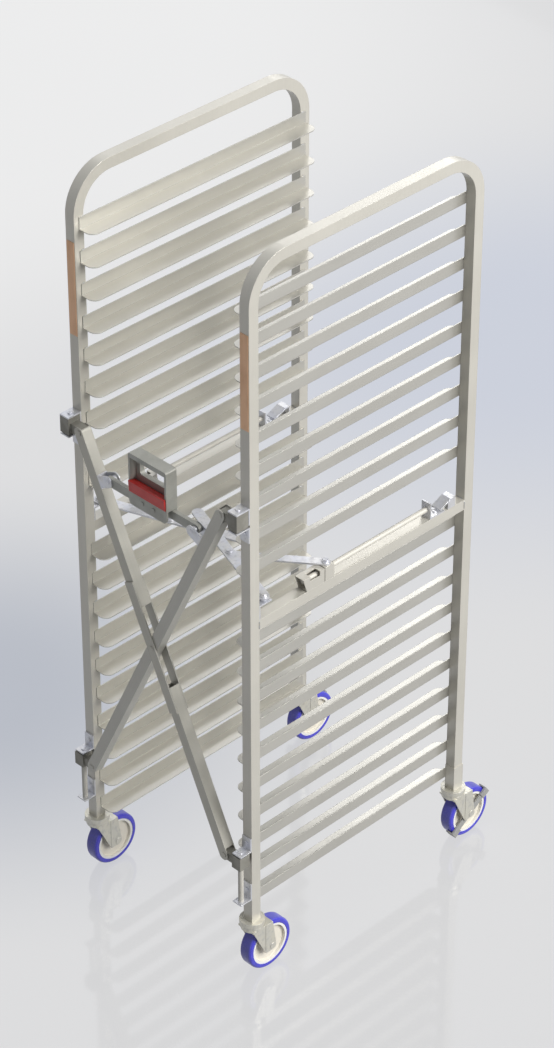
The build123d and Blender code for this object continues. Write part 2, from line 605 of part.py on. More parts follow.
# Handle and trigger
def handle_frame():
    plane = Plane(origin=(X_HANDLE_FRONT, 0, Z_HANDLE + HANDLE_HEIGHT / 2), x_dir=(0, 1, 0), z_dir=(1, 0, 0))
    outline = Rectangle(HANDLE_WIDTH, HANDLE_HEIGHT)
    outline = fillet(outline.vertices().group_by(Axis.Y)[0], HANDLE_FOOT_CORNER)
    outline = fillet(outline.vertices().group_by(Axis.Y)[-1], HANDLE_TOP_CORNER)
    hole_middle = HANDLE_HEIGHT / 2 - GRIP_BAR - HAND_HOLE_HEIGHT / 2
    outline -= Pos(0, hole_middle) * RectangleRounded(HAND_HOLE_WIDTH, HAND_HOLE_HEIGHT, HAND_HOLE_CORNER)
    body = extrude(plane * outline, HANDLE_DEPTH)
    side = HANDLE_WIDTH
    inside = HANDLE_DEPTH / 2 - HANDLE_WALL
    body -= box(X_BAR - inside, X_BAR + inside, -side, side, Z_HANDLE, Z_KNUCKLE + CHANNEL_ABOVE_PIVOT)
    front = X_HANDLE_FRONT
    half = TRIGGER_WIDTH / 2 + TRIGGER_SIDE_GAP
    shelf_floor = Z_TRIGGER_TOP - TRIGGER_SHELF_ROOM
    roof = Z_TRIGGER_TOP + TRIGGER_TOP_GAP
    body -= box(front, front + TRIGGER_POCKET, -half, half, Z_TRIGGER_FOOT - TRIGGER_FOOT_GAP, shelf_floor)
    body -= box(front, front + RECESS_DEPTH, -half, half, shelf_floor, roof)
    half = HANDLE_WIDTH / 2 - HANDLE_WALL
    body -= box(front, front + RECESS_DEPTH, -half, half, roof, Z_HANDLE + HANDLE_HEIGHT - GRIP_BAR)
    body -= rod_y(-side, side, X_TRIGGER_AXIS, Z_TRIGGER_AXIS, TRIGGER_PIN)
    for y in (-LINK_PIVOT, LINK_PIVOT):
        body -= rod_x(X_BAR - HANDLE_DEPTH, X_BAR + HANDLE_DEPTH, y, Z_KNUCKLE, SMALL_PIN)
    return body


def handle_studs():
    """A front and a back stud on each link's axis, and the trigger's two pins."""
    face = HANDLE_DEPTH / 2
    solids = []
    for y in (-LINK_PIVOT, LINK_PIVOT):
        front = rod_x(X_BAR - face, X_BAR - SIDE_GAP, y, Z_KNUCKLE, SMALL_PIN)
        front += rod_x(X_BAR - face - PIN_HEAD, X_BAR - face, y, Z_KNUCKLE, SMALL_PIN * ROUND_HEAD_RATIO)
        back = rod_x(X_BAR + face - HANDLE_WALL, X_BAR + face, y, Z_KNUCKLE, SMALL_PIN)
        back += hex_x(X_BAR + face, X_BAR + face + NUT_HEIGHT, y, Z_KNUCKLE, SMALL_PIN * NUT_RATIO)
        solids += [front, back]
    inner = TRIGGER_WIDTH / 2 - TRIGGER_PIN_REACH
    solids.append(rod_y(inner, HANDLE_WIDTH / 2, X_TRIGGER_AXIS, Z_TRIGGER_AXIS, TRIGGER_PIN))
    solids.append(rod_y(-HANDLE_WIDTH / 2, -inner, X_TRIGGER_AXIS, Z_TRIGGER_AXIS, TRIGGER_PIN))
    return solids


def trigger():
    """A front plate with a shelf that runs back into the handle."""
    x0 = X_HANDLE_FRONT
    shelf_end = x0 + TRIGGER_SHELF
    shelf_top = Z_TRIGGER_TOP - TRIGGER_SHELF_FALL
    profile = Polygon(
        (x0 - TRIGGER_PROUD_TOP, Z_TRIGGER_TOP),
        (x0 - TRIGGER_PROUD_FOOT, Z_TRIGGER_FOOT),
        (x0 - TRIGGER_PROUD_FOOT + TRIGGER_PLATE, Z_TRIGGER_FOOT),
        (X_TRIGGER_AXIS + TRIGGER_BARREL, Z_TRIGGER_AXIS - TRIGGER_BARREL),
        (shelf_end, shelf_top - TRIGGER_SHELF_GAUGE),
        (shelf_end, shelf_top),
        align=None,
    )
    plane = Plane(origin=(0, TRIGGER_WIDTH / 2, 0), x_dir=(1, 0, 0), z_dir=(0, -1, 0))
    body = extrude(plane * profile, TRIGGER_WIDTH)
    front = body.edges().filter_by(Axis.Y).sort_by(Axis.X)[0]
    body = fillet(front, TRIGGER_ROUND)
    reach = TRIGGER_PIN_REACH + SIDE_GAP
    for end in (-TRIGGER_WIDTH / 2, TRIGGER_WIDTH / 2 - reach):
        body -= rod_y(end, end + reach, X_TRIGGER_AXIS, Z_TRIGGER_AXIS, TRIGGER_PIN + RUNNING_FIT)
    return body


# Cross plates, links and sliders
def flat_plate(start, end, width, z0):
    """Flat plate with round ends about two points seen from above."""
    along = end[0] - start[0]
    across = end[1] - start[1]
    plate = extrude(SlotCenterToCenter(hypot(along, across), width), PLATE_GAUGE)
    middle = Pos(start[0] + along / 2, start[1] + across / 2, z0)
    return middle * Rot(0, 0, degrees(atan2(across, along))) * plate


def cross_plate(side, z0):
    """Flat plate from the bracket on one side, past the crossing, to a short tail."""
    share = PLATE_TAIL / PLATE_HALF
    pivot = (X_PLATE_PIVOT, side * Y_POST)
    tail = (X_CROSSING + share * PLATE_CROSSING, -side * share * Y_POST)
    plate = flat_plate(pivot, tail, PLATE_WIDTH, z0)
    for x, y in (pivot, (X_CROSSING, 0)):
        plate -= rod_z(z0, z0 + PLATE_GAUGE, x, y, SMALL_PIN)
    return plate - rod_z(z0, z0 + PLATE_GAUGE, X_LINK_PIN, side * Y_LINK_PIN, SMALL_PIN + RUNNING_FIT)


def bolt_cap(roof, x, y):
    """Washer and hexagon head above a face."""
    cap = rod_z(roof, roof + WASHER, x, y, WASHER_RADIUS)
    return cap + hex_z(roof + WASHER, roof + WASHER + BOLT_HEAD, x, y, BOLT_RADIUS)


def through_bolt(foot, roof, x, y):
    bolt = rod_z(foot, roof, x, y, SMALL_PIN) + bolt_cap(roof, x, y)
    return bolt + hex_z(foot - BOLT_HEAD, foot, x, y, BOLT_RADIUS)


def plate_pivot(side, z0):
    """Bolt through the bracket's flange, turning with the plate."""
    return through_bolt(Z_PLATE - ANGLE_GAUGE - SIDE_GAP, z0 + PLATE_GAUGE, X_PLATE_PIVOT, side * Y_POST)


def end_bolt(x, y, z0):
    return rod_z(z0, z0 + PLATE_GAUGE, x, y, SMALL_PIN) + bolt_cap(z0 + PLATE_GAUGE, x, y)


def left_plate_bolts():
    z0 = LEFT_PLATE_Z
    crossing = rod_z(z0, z0 + PLATE_GAUGE, X_CROSSING, 0, SMALL_PIN)
    crossing += hex_z(z0 - BOLT_HEAD, z0, X_CROSSING, 0, BOLT_RADIUS)
    return [plate_pivot(1, z0), crossing]


def right_plate_bolts():
    z0 = RIGHT_PLATE_Z
    spacer = rod_z(Z_PLATE + SIDE_GAP, z0, X_PLATE_PIVOT, -Y_POST, WASHER_RADIUS)
    return [plate_pivot(-1, z0) + spacer, end_bolt(X_CROSSING, 0, z0)]


def slider_link(side, z0, plate_z):
    """Flat link from a bolt through the cross plate to the slider on the same side."""
    pin = (X_LINK_PIN, side * Y_LINK_PIN)
    end = (X_SLIDER, side * Y_POST)
    link = flat_plate(pin, end, SLIDER_LINK_WIDTH, z0)
    for x, y in (pin, end):
        link -= rod_z(z0, z0 + PLATE_GAUGE, x, y, SMALL_PIN)
    foot = min(z0, plate_z - SIDE_GAP)
    roof = max(z0, plate_z + SIDE_GAP) + PLATE_GAUGE
    return [link, through_bolt(foot, roof, *pin), end_bolt(*end, z0)]


def rail_slider(roof):
    half = SLIDER_LENGTH / 2
    block = box(X_SLIDER - half, X_SLIDER + half, Y_IN, Y_OUT, Z_RAIL + SLIDER_LIFT, Z_PLATE)
    if roof > Z_PLATE:
        block += rod_z(Z_PLATE, roof, X_SLIDER, Y_POST, WASHER_RADIUS)
    return block - rod_x(X_SLIDER - half, X_SLIDER + half, Y_POST, Z_RAIL_ROD, ROD_RADIUS + RUNNING_FIT)


# Casters, made round the swivel axis with the wheel trailing along X
def caster_top():
    top = rod_z(Z_TOP, Z_TOP + TOP_LIP, 0, 0, RACE_RADIUS)
    top += rod_z(Z_TOP + TOP_LIP, BASE, 0, 0, TOP_RADIUS)
    stem = TUBE / 2 - TUBE_WALL - STEM_GAP
    top += box(-stem, stem, -stem, stem, BASE, BASE + STEM_LENGTH)
    top += rod_z(Z_CROWN - SIDE_GAP, Z_TOP, 0, 0, KING_PIN)
    head_top = Z_CROWN - SIDE_GAP
    return top + rod_z(head_top - KING_HEAD, head_top, 0, 0, KING_HEAD_RADIUS)


def caster_fork():
    race = rod_z(Z_RACE, Z_RACE + RACE_HEIGHT, 0, 0, RACE_RADIUS)
    crown = box(-FORK_LEG_TOP_BACK, TRAIL, -LEG_OUT, LEG_OUT, Z_CROWN, Z_RACE)
    crown += rod_z(Z_CROWN, Z_RACE, 0, 0, RACE_RADIUS)
    foot = WHEEL_RADIUS - FORK_LEG_RADIUS
    heel = TRAIL + FORK_LEG_RADIUS
    round_end = Pos(TRAIL, WHEEL_RADIUS) * Circle(FORK_LEG_RADIUS)
    shared = [(FORK_STRIP_FRONT, foot), (TRAIL, foot), (heel, WHEEL_RADIUS), (TRAIL, Z_RACE)]
    leg = Polygon(*shared, (-FORK_LEG_TOP_BACK, Z_RACE), align=None) + round_end
    strip = Polygon(*shared, (FORK_STRIP_FRONT, Z_RACE), align=None) + round_end
    fork = crown + race
    for side in (-1, 1):
        for outline, gauge in ((leg, FORK_LEG_GAUGE), (strip, FORK_STRIP_GAUGE)):
            face = max(side * LEG_IN, side * (LEG_IN + gauge))
            plane = Plane(origin=(0, face, 0), x_dir=(1, 0, 0), z_dir=(0, -1, 0))
            fork += extrude(plane * outline, gauge)
    fork -= rod_z(Z_CROWN, Z_RACE + RACE_HEIGHT, 0, 0, KING_PIN + RUNNING_FIT)
    outside = LEG_IN + FORK_STRIP_GAUGE
    fork -= rod_y(-outside, outside, TRAIL, WHEEL_RADIUS, AXLE_RADIUS)
    axle = rod_y(-outside, outside, TRAIL, WHEEL_RADIUS, AXLE_RADIUS)
    for end in (outside, -outside - AXLE_HEAD):
        axle += rod_y(end, end + AXLE_HEAD, TRAIL, WHEEL_RADIUS, AXLE_HEAD_RADIUS)
    return [fork, axle]


def wheel_ring(profile):
    """Turn a profile, given as distance along the axle and radius, about the axle."""
    plane = Plane(origin=(TRAIL, 0, WHEEL_RADIUS), x_dir=(0, 1, 0), z_dir=(1, 0, 0))
    axis = Axis((TRAIL, 0, WHEEL_RADIUS), (0, 1, 0))
    return revolve(plane * profile, axis)


def tyre():
    band = Pos(0, (HUB_RADIUS + WHEEL_RADIUS) / 2) * Rectangle(WHEEL_WIDTH, WHEEL_RADIUS - HUB_RADIUS)
    return wheel_ring(fillet(band.vertices().group_by(Axis.Y)[-1], TYRE_ROUND))


def hub(outer_stop):
    bore = AXLE_RADIUS + RUNNING_FIT
    rim = Pos(0, (RIM_RADIUS + HUB_RADIUS) / 2) * Rectangle(RIM_WIDTH, HUB_RADIUS - RIM_RADIUS)
    web = Pos(0, (bore + HUB_RADIUS) / 2) * Rectangle(HUB_WEB, HUB_RADIUS - bore)
    boss_in = SIDE_GAP - LEG_IN
    boss_out = outer_stop - SIDE_GAP
    boss = Rectangle(boss_out - boss_in, HUB_BOSS_RADIUS - bore)
    boss = Pos((boss_in + boss_out) / 2, (bore + HUB_BOSS_RADIUS) / 2) * boss
    return wheel_ring(rim + web + boss)


def brake_rocker():
    plane = Plane(origin=(0, BRAKE_OUT, 0), x_dir=(1, 0, 0), z_dir=(0, -1, 0))
    rocker = extrude(plane * SlotCenterToCenter(2 * BRAKE_REACH, BRAKE_WIDTH), BRAKE_GAUGE)
    for end in (-1, 1):
        near = end * PAD_INNER
        far = end * PAD_OUTER
        lip = end * (PAD_OUTER - PAD_LIP)
        half = PAD_WIDTH / 2
        pad = box(min(near, far), max(near, far), BRAKE_FACE, BRAKE_FACE + PAD_GAUGE, -half, half)
        inner = BRAKE_FACE + PAD_GAUGE - PAD_LIP_WIDTH
        pad += box(min(lip, far), max(lip, far), inner, BRAKE_FACE + PAD_GAUGE, -half, half)
        rocker += pad
    rocker -= rod_y(BRAKE_FACE, BRAKE_OUT, 0, 0, AXLE_RADIUS + RUNNING_FIT)
    return Pos(TRAIL, 0, WHEEL_RADIUS) * Rot(0, -BRAKE_ANGLE, 0) * rocker


def write_casters():
    for end, x in (("front", X_CASTER_FRONT), ("back", X_CASTER_BACK)):
        place = Pos(x, Y_POST, 0)
        stop = BRAKE_FACE if end == "back" else LEG_IN
        pieces = {"fork": caster_fork(), "tyre": [tyre()], "hub": [hub(stop)]}
        if end == "back":
            pieces["brake"] = [brake_rocker()]
        for name, solids in pieces.items():
            write_pair(f"{end}_{name}", [place * solid for solid in solids])


def write_frames():
    write_pair("frame_tube", [frame_tube()])
    write_pair("mid_rail", [mid_rail()])
    write_pair("slides_upper", [pan_slide(UPPER_SLIDE_START + i * SLIDE_PITCH) for i in range(UPPER_SLIDES)])
    write_pair("slides_lower", [pan_slide(LOWER_SLIDE_START + i * SLIDE_PITCH) for i in range(LOWER_SLIDES)])
    write_pair("copper_strip", [copper_strip()])
    write_pair("angle_brackets", angle_brackets())
    write_pair("pivot_block", [pivot_block()])
    write_pair("guide_rods", guide_rods())
    write_pair("rail_housing", [rail_housing()])
    write_pair("bracket_screws", bracket_screws())
    write_pair("caster_tops", [Pos(x, Y_POST, 0) * caster_top() for x in (X_CASTER_FRONT, X_CASTER_BACK)])
    write_pair("back_shoe", [back_shoe()])
    write_pair("sliding_block", [sliding_block()])


def write_scissor():
    write("first_bar_tubes", [lean_bar(tube, -1) for tube in first_bar()])
    back_plate = fork_plate()
    write("fork_plates", [lean_bar(plate, -1) for plate in (back_plate, mirror(back_plate, about=Plane.YZ))])
    write("first_bar_pins", [lean_bar(pin, -1) for pin in first_bar_pins()])
    write("second_bar_tube", [lean_bar(second_bar(), 1)])
    write("second_bar_pins", [lean_bar(pin, 1) for pin in second_bar_pins()])
    write("left_knuckle", [lean_bar(piece, -1) for piece in knuckle(-1)])
    write("right_knuckle", [lean_bar(piece, 1) for piece in knuckle(1)])


def write_handle():
    write("left_link", [toggle_link(1)])
    write("right_link", [toggle_link(-1)])
    write("handle_frame", [handle_frame()])
    write("handle_studs", handle_studs())
    write("trigger", [trigger()])


def write_cross_plates():
    write("left_cross_plate", [cross_plate(1, LEFT_PLATE_Z)])
    write("right_cross_plate", [cross_plate(-1, RIGHT_PLATE_Z)])
    write("left_plate_bolts", left_plate_bolts())
    write("right_plate_bolts", right_plate_bolts())
    write("left_slider_link", slider_link(1, RIGHT_PLATE_Z, LEFT_PLATE_Z))
    write("right_slider_link", slider_link(-1, LEFT_PLATE_Z, RIGHT_PLATE_Z))
    write("left_rail_slider", [rail_slider(RIGHT_PLATE_Z - PLATE_GAP)])
    write("right_rail_slider", other_side([rail_slider(Z_PLATE)]))


def slider_reach(lean):
    """Slider's distance behind the plate pivot and the link's slant when the plate leans back."""
    across = SLIDER_LINK_PIN * cos(radians(lean))
    slant = asin(across / SLIDER_LINK_LENGTH)
    return SLIDER_LINK_PIN * sin(radians(lean)) + SLIDER_LINK_LENGTH * cos(slant), degrees(slant)


def closing_ratios():
    """How far each coupled piece moves while the first bar turns by the fold angle."""
    narrowing = 2 * Y_PIVOT - BAR_LENGTH * sin(radians(CLOSED_ANGLE))
    closed_lean = degrees(acos((Y_POST - narrowing / 2) / PLATE_HALF))
    plate_turn = closed_lean - PLATE_LEAN
    open_reach, open_slant = slider_reach(PLATE_LEAN)
    closed_reach, closed_slant = slider_reach(closed_lean)
    slider_travel = closed_reach - open_reach
    slider_link_turn = plate_turn + open_slant - closed_slant
    knuckle_closed = knuckle_place(CLOSED_ANGLE)[0]
    link_turn = degrees(acos((knuckle_closed - LINK_PIVOT) / LINK_LENGTH))
    return narrowing, slider_travel, plate_turn, slider_link_turn, link_turn


def print_places():
    narrowing, slider_travel, plate_turn, slider_link_turn, link_turn = closing_ratios()
    print("upper pivot", X_BAR, Y_PIVOT, Z_UPPER)
    print("lower pivot", X_BAR, Y_PIVOT, Z_LOWER)
    print("bar crossing", X_BAR, 0.0, (Z_UPPER + Z_LOWER) / 2)
    print("knuckle pin", X_BAR, Y_KNUCKLE, Z_KNUCKLE)
    print("handle pivot", X_BAR, LINK_PIVOT, Z_KNUCKLE)
    print("trigger axis", X_TRIGGER_AXIS, 0.0, Z_TRIGGER_AXIS)
    print("plate pivot", X_PLATE_PIVOT, Y_POST, Z_PLATE)
    print("slider", X_SLIDER, Y_POST, Z_RAIL_ROD)
    print("slider link pin", X_LINK_PIN, Y_LINK_PIN, LEFT_PLATE_Z)
    print("casters", X_CASTER_FRONT, X_CASTER_BACK, Y_POST, TRAIL, WHEEL_RADIUS)
    print("fold", FOLD_ANGLE, "narrows", narrowing, "slider", slider_travel)
    print("plate turn", plate_turn, "slider link turn", slider_link_turn, "link turn", link_turn)
    print("rail", Z_RAIL, "front", FRONT, "back", BACK)


def main():
    os.makedirs("parts", exist_ok=True)
    write_frames()
    write_scissor()
    write_handle()
    write_cross_plates()
    write_casters()
    print_places()


main()
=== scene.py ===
# %% [markdown]
# # A collapsible pan rack
# Two tall side frames on casters carry sheet pans on bent slides. A scissor of two bars
# at the front, a toggle handle and two flat cross plates fold the frames together.
# The solid model comes in as a fixed frame. Everything below adds finishes, small made
# details, light and a camera around it, all in metres.

# %% Load the solid model
from math import cos, pi, radians, sin, sqrt

import bmesh
import bpy
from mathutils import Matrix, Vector


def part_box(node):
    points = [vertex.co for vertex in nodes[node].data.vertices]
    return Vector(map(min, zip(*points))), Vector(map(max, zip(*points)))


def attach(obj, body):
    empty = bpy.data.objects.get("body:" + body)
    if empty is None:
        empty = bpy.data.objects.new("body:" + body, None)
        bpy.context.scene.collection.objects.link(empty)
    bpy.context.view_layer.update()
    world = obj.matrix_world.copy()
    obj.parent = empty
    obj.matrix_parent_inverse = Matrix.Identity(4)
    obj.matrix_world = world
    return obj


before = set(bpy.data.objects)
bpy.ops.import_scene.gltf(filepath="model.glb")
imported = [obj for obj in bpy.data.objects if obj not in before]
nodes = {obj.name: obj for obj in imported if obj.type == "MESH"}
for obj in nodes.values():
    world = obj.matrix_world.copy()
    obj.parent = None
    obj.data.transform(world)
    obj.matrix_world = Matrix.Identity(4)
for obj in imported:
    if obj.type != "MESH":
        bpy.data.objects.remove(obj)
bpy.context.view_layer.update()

# %% [markdown]
# ## Writing a finish as arithmetic
# A finish is a tree of shader nodes. It could be wired by hand, node by node, but sums
# and products are easier to read. `Wire` holds one output socket, and its operators add
# Math nodes, so `1 - mask` works as it does on numbers.

# %% The wire class
class Wire:
    """One output of a finish; arithmetic on wires adds Math nodes."""

    def __init__(self, finish, socket):
        self.finish = finish
        self.socket = socket

    def math(self, operation, first, second):
        return self.finish.node("ShaderNodeMath", {"operation": operation}, {0: first, 1: second})

    def __add__(self, other):
        return self.math("ADD", self, other)

    def __radd__(self, other):
        return self.math("ADD", other, self)

    def __sub__(self, other):
        return self.math("SUBTRACT", self, other)

    def __rsub__(self, other):
        return self.math("SUBTRACT", other, self)

    def __mul__(self, other):
        return self.math("MULTIPLY", self, other)

    def __rmul__(self, other):
        return self.math("MULTIPLY", other, self)


print("wires add, subtract and multiply")

# %% [markdown]
# ## One method for every other node
# `Finish.node` takes a node's type, its settings and what goes into its sockets. The
# settings come first because some of them, such as a Mix node's data type, decide which
# sockets there are. The short methods after it name what the finishes below need most.

# %% The finish class
NO_TURN = (0.0, 0.0, 0.0)
EDGE_SAMPLES = 4
EDGE_START = 0.02
EDGE_FULL = 0.25


class Finish:
    """A material, or the world given as owner, under construction."""

    def __init__(self, name, owner=None):
        self.material = owner or bpy.data.materials.new(name)
        self.material.use_nodes = True
        self.tree = self.material.node_tree
        self.tree.nodes.clear()

    def node(self, kind, settings=None, inputs=None, output=0):
        made = self.tree.nodes.new(kind)
        for key, value in (settings or {}).items():
            setattr(made, key, value)
        for key, value in (inputs or {}).items():
            if isinstance(value, Wire):
                self.tree.links.new(value.socket, made.inputs[key])
            else:
                made.inputs[key].default_value = value
        return Wire(self, made.outputs[output]) if made.outputs else None

    def noise(self, size, detail=2.0, turn=NO_TURN):
        """Noise with spots of a size in metres: one number, or three along axes turned by turn."""
        place = self.node("ShaderNodeTexCoord", output="Object")
        spot = size if isinstance(size, tuple) else (size, size, size)
        scaled = self.node("ShaderNodeMapping", {"vector_type": "TEXTURE"},
                           {"Vector": place, "Rotation": turn, "Scale": spot})
        return self.node("ShaderNodeTexNoise", None, {"Vector": scaled, "Scale": 1.0, "Detail": detail})

    def band(self, value, low, high):
        """0 at low, 1 at high and a smooth rise between."""
        return self.node("ShaderNodeMapRange", {"interpolation_type": "SMOOTHSTEP"},
                         {"Value": value, "From Min": low, "From Max": high})

    def patches(self, size, detail, low, high):
        """Soft patches: noise spread out so that low becomes 0 and high becomes 1."""
        return self.band(self.noise(size, detail), low, high)

    def tint(self, first, second, share):
        """The first colour, with a share of the second mixed in."""
        return self.node("ShaderNodeMix", {"data_type": "RGBA"}, {0: share, 6: first, 7: second}, 2)

    def soft_edge(self, radius):
        """The normal as if every edge were rounded by radius."""
        return self.node("ShaderNodeBevel", {"samples": EDGE_SAMPLES}, {"Radius": radius})

    def edge_mask(self, rounded):
        """1 along edges and 0 on flat faces."""
        flat = self.node("ShaderNodeNewGeometry", output="Normal")
        facing = self.node("ShaderNodeVectorMath", {"operation": "DOT_PRODUCT"},
                           {0: rounded, 1: flat}, "Value")
        return self.band(1 - facing, EDGE_START, EDGE_FULL)

    def relief(self, height, depth, normal):
        """The normal of a surface that rises by depth, in metres, where height is 1."""
        return self.node("ShaderNodeBump", None, {"Height": height, "Distance": depth, "Normal": normal})

    def surface(self, **sockets):
        """Close the tree with a Principled shader; underscores stand for spaces."""
        inputs = {key.replace("_", " "): value for key, value in sockets.items()}
        shader = self.node("ShaderNodeBsdfPrincipled", None, inputs)
        self.node("ShaderNodeOutputMaterial", None, {"Surface": shader})
        return self.material


print("finishes are ready to be mixed")

# %% [markdown]
# Colours are easiest to judge as a screen shows them, but a shader takes linear ones. They
# could be converted one by one, but `shade` does it for all of them. `wear` puts a finish
# on nodes of the solid model, and `both` names the two nodes of a pair, because nearly
# every piece of the rack has a mirror image.

# %% Colours and pairs
def shade(red, green, blue):
    """A colour as a screen shows it, 0 to 255, turned into the linear one a shader takes."""
    linear = [((c / 255 + 0.055) / 1.055) ** 2.4 for c in (red, green, blue)]
    return (*linear, 1.0)


def wear(node_names, material):
    """Give these nodes of the solid model a finish."""
    for name in node_names:
        slots = nodes[name].data.materials
        slots.clear()
        slots.append(material)


def both(*names):
    """The left and the right node of each name."""
    return [f"{side}_{name}" for side in ("left", "right") for name in names]


print("a mid grey, 128 on a screen, is", round(shade(128, 128, 128)[0], 3), "to a shader")

# %% [markdown]
# ## Satin metal of the frames
# The tubes and slides are satin metal with a warm, beige grey. Belt grinding leaves faint
# streaks along each length, handling leaves soft duller patches, and the edges are rubbed
# a little brighter. Painted streaks would be an image; long thin noise gives them at any
# size, turned to run along each piece.

# %% Satin frame metal
PALER = 10
DULLER = -15
RUBBED = 27
TUBE_EDGE = 0.0012
GRIND_DEPTH = 0.000004


def satin_metal(name, base, streak, turn=NO_TURN, metal=0.38, rough=0.32):
    """Satin metal around a base colour, with streaks of a size and turn."""
    f = Finish(name)
    pale, dulled, rubbed = (shade(*[c + step for c in base]) for step in (PALER, DULLER, RUBBED))
    cloud = f.patches(size=0.30, detail=3.0, low=0.3, high=0.7)
    smudge = f.patches(size=0.05, detail=4.0, low=0.45, high=0.75)
    brush = f.noise(streak, detail=3.0, turn=turn)
    rounded = f.soft_edge(TUBE_EDGE)
    edge = f.edge_mask(rounded)
    tone = f.tint(shade(*base), pale, cloud)
    tone = f.tint(tone, dulled, 0.35 * brush + 0.12 * smudge)
    tone = f.tint(tone, rubbed, 0.5 * edge)
    polish = rough + 0.02 * brush + 0.02 * smudge - 0.04 * edge
    grain = f.relief(brush, GRIND_DEPTH, rounded)
    return f.surface(Base_Color=tone, Roughness=polish, Metallic=metal, Normal=grain)


print("the streaks are", round(1000000 * GRIND_DEPTH), "micrometres deep")

# %% [markdown]
# The streaks run up the posts, along the rails and slides, and at a lean on the two bars
# of the scissor. One material for all of them could not follow that, so each direction has
# its own. The slides are smoother and more metallic than the tubes, and the bars are duller.
# The first bar's beige is painted shade, darker than the second bar's of the same metal.

# %% Frames, slides and bars
ALONG_X = (0.16, 0.004, 0.004)
ALONG_Z = (0.004, 0.004, 0.16)
BAR_LEAN = radians(25.41)
TUBE_BEIGE = (203, 200, 191)
SLIDE_BEIGE = (192, 190, 183)
# painted shade: the first bar's beige is darker than the second bar's, which is the same metal
FIRST_BAR_SHADED_BEIGE = (172, 170, 162)
SECOND_BAR_BEIGE = (198, 196, 188)
wear(both("frame_tube", "back_shoe"), satin_metal("satin_upright", TUBE_BEIGE, ALONG_Z))
wear(both("mid_rail", "rail_housing", "rail_slider"), satin_metal("satin_rail", TUBE_BEIGE, ALONG_X))
satin_slide = satin_metal("satin_slide", SLIDE_BEIGE, ALONG_X, metal=0.65, rough=0.28)
wear(both("slides_upper", "slides_lower"), satin_slide)
satin_first = satin_metal("satin_first_bar", FIRST_BAR_SHADED_BEIGE, ALONG_Z, (-BAR_LEAN, 0.0, 0.0),
                          metal=0.6, rough=0.45)
wear(["first_bar_tubes", "fork_plates", "first_bar_pins"], satin_first)
satin_second = satin_metal("satin_second_bar", SECOND_BAR_BEIGE, ALONG_Z, (BAR_LEAN, 0.0, 0.0),
                           metal=0.3, rough=0.45)
wear(["second_bar_tube", "second_bar_pins"], satin_second)
print("satin metal on the frames, slides and bars")

# %% [markdown]
# ## Zinc on brackets, plates and fasteners
# Bright zinc plate is a cool grey whose thin clear coat drifts between blue and straw
# yellow. A thin film in the shader could do that, but two tints mixed by large soft noise
# are easier to steer. Small noise dulls the plate where it was handled, and long thin noise
# scratches it.

# %% Zinc plate
SCRATCH = (0.0006, 0.03, 0.0006)
SCRATCH_TURN = (0.3, 0.4, 0.6)
SCRATCH_DEPTH = 0.00004
SHEET_EDGE = 0.0008
HANDLED_ZINC = shade(160, 161, 165)
RUBBED_ZINC = shade(232, 233, 238)


def zinc_plate(name, cool, straw, rough):
    """Zinc that drifts between two colours, with dull patches and fine scratches."""
    f = Finish(name)
    drift = f.patches(size=0.025, detail=3.0, low=0.35, high=0.65)
    dull = f.patches(size=(0.008, 0.008, 0.012), detail=4.0, low=0.45, high=0.75)
    scratch = f.noise(SCRATCH, detail=2.0, turn=SCRATCH_TURN)
    rounded = f.soft_edge(SHEET_EDGE)
    edge = f.edge_mask(rounded)
    tone = f.tint(cool, straw, 0.6 * drift)
    tone = f.tint(tone, HANDLED_ZINC, 0.35 * dull)
    tone = f.tint(tone, RUBBED_ZINC, 0.6 * edge)
    polish = rough + 0.14 * dull + 0.08 * scratch - 0.06 * edge
    return f.surface(Base_Color=tone, Roughness=polish, Metallic=0.6,
                     Normal=f.relief(scratch + 0.5 * dull, SCRATCH_DEPTH, rounded))


zinc = zinc_plate("zinc_brackets", cool=shade(210, 212, 220), straw=shade(216, 215, 213), rough=0.28)
wear(both("angle_brackets", "cross_plate", "slider_link", "knuckle", "bracket_screws"), zinc)
bright = zinc_plate("zinc_bolts", cool=shade(214, 216, 222), straw=shade(220, 219, 218), rough=0.26)
wear(both("plate_bolts"), bright)
print("zinc on the brackets, cross plates, links and bolts")

# %% [markdown]
# ## Cast blocks, coated handle and ground rods
# The pivot blocks are cast metal with an open grain. The toggle handle and its links wear
# a grey powder coat, which dries with a fine orange peel. The guide rods are ground steel.
# Each could be a tree of its own, but all three are one recipe with different grain, so
# one function makes them.

# %% Grained metal
RUBBED_GREY = shade(176, 175, 170)


def grained_metal(name, light, dark, grain, depth, rough, metal, rounding=0.0010):
    """Metal between two tones, with pits of a grain and depth and its edges rubbed pale."""
    f = Finish(name)
    cloud = f.patches(size=0.03, detail=3.0, low=0.35, high=0.65)
    pits = f.noise(grain, detail=3.0)
    rounded = f.soft_edge(rounding)
    edge = f.edge_mask(rounded)
    tone = f.tint(light, dark, 0.5 * cloud + 0.4 * f.band(pits, low=0.5, high=0.8))
    tone = f.tint(tone, RUBBED_GREY, 0.55 * edge)
    polish = rough + 0.12 * cloud - 0.10 * edge
    return f.surface(Base_Color=tone, Roughness=polish, Metallic=metal, Normal=f.relief(pits, depth, rounded))


cast = grained_metal("cast_blocks", light=shade(148, 146, 138), dark=shade(120, 118, 110),
                     grain=0.0011, depth=0.00018, rough=0.46, metal=0.35)
wear(both("pivot_block", "sliding_block"), cast)
coated = grained_metal("coated_handle", light=shade(182, 182, 175), dark=shade(164, 164, 157),
                       grain=0.0022, depth=0.00010, rough=0.38, metal=0.25)
wear(["handle_frame", "handle_studs"] + both("link"), coated)
ground = grained_metal("ground_rods", light=shade(212, 209, 201), dark=shade(202, 199, 190),
                       grain=0.02, depth=0.000002, rough=0.48, metal=0.15, rounding=0.0001)
wear(both("guide_rods"), ground)
print("blocks, handle and rods are finished")

